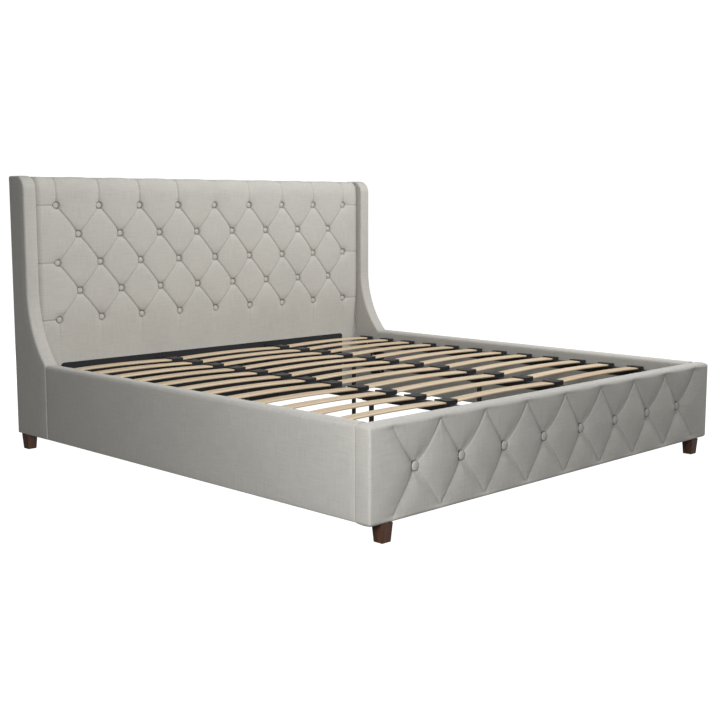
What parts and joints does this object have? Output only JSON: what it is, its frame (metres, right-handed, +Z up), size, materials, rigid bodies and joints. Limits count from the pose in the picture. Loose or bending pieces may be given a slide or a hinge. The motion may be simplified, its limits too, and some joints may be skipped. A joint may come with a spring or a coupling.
{
  "type": "upholstered bed",
  "caption": "King-size bed with a button-tufted winged headboard, padded side rails, a tufted footboard and bowed slats on a steel under-frame.",
  "frame": {"origin": "on the floor, at the middle of the bed's outline", "axes": "+X across the bed to its right-hand side seen from the foot end, +Y from the footboard to the headboard, +Z up"},
  "size_m": [2.08, 2.182, 1.19],
  "materials": {
    "linen": "woven linen-look upholstery over foam, warm light grey",
    "button_linen": "the same linen, drawn tight over button shells",
    "dust_cloth": "black non-woven cloth",
    "timber": "sawn pine, unfinished",
    "plywood": "unfinished poplar plywood",
    "beech": "bent beech veneer, clear lacquer",
    "walnut": "dark walnut stain, satin lacquer",
    "black_steel": "black powder coat",
    "holder_plastic": "black moulded plastic, fine grain",
    "glide_plastic": "black moulded plastic",
    "zinc": "bright zinc plate"
  },
  "bodies": {
    "frame": {"headboard_stile_left": "timber", "headboard_stile_right": "timber", "headboard_top_rail": "timber", "headboard_middle_rail": "timber", "headboard_bottom_rail": "timber", "headboard_uprights": "timber", "headboard_plywood": "plywood", "headboard_tufted_cover": "linen", "headboard_buttons": "button_linen", "headboard_dust_cloth": "dust_cloth", "headboard_back_cover": "linen", "wing_board_left": "timber", "wing_board_right": "timber", "wing_cover_left": "linen", "wing_cover_right": "linen", "wing_bolts": "zinc", "side_rail_board_left": "timber", "side_rail_board_right": "timber", "side_rail_cover_left": "linen", "side_rail_cover_right": "linen", "footboard_board": "timber", "footboard_tufted_cover": "linen", "footboard_buttons": "button_linen", "joint_plate_left": "black_steel", "joint_plate_right": "black_steel", "corner_bracket_left": "black_steel", "corner_bracket_right": "black_steel", "joint_bolts": "zinc", "ledge_left": "black_steel", "ledge_right": "black_steel", "ledge_screws": "zinc", "centre_rail_left": "black_steel", "centre_rail_right": "black_steel", "head_hangers": "black_steel", "foot_hangers": "black_steel", "hanger_screws": "black_steel", "centre_leg_head_left": "black_steel", "centre_leg_head_right": "black_steel", "centre_leg_foot_left": "black_steel", "centre_leg_foot_right": "black_steel", "leg_bolts": "zinc", "slats_left": "beech", "slats_middle": "beech", "slats_right": "beech", "side_caps_left": "holder_plastic", "side_caps_right": "holder_plastic", "double_caps_left": "holder_plastic", "double_caps_right": "holder_plastic", "foot_head_left": "walnut", "foot_head_right": "walnut", "foot_front_left": "walnut", "foot_front_right": "walnut", "foot_bolts": "zinc"},
    "glide_head_left": {"glide_head_left": "glide_plastic"},
    "glide_head_right": {"glide_head_right": "glide_plastic"},
    "glide_foot_left": {"glide_foot_left": "glide_plastic"},
    "glide_foot_right": {"glide_foot_right": "glide_plastic"}
  },
  "joints": [
    {"name": "glide_head_left_screw", "type": "slide", "parent": "frame", "child": "glide_head_left", "axis": [0, 0, 1], "range_m": [-0.015, 0]},
    {"name": "glide_head_right_screw", "type": "slide", "parent": "frame", "child": "glide_head_right", "axis": [0, 0, 1], "range_m": [-0.015, 0]},
    {"name": "glide_foot_left_screw", "type": "slide", "parent": "frame", "child": "glide_foot_left", "axis": [0, 0, 1], "range_m": [-0.015, 0]},
    {"name": "glide_foot_right_screw", "type": "slide", "parent": "frame", "child": "glide_foot_right", "axis": [0, 0, 1], "range_m": [-0.015, 0]}
  ]
}
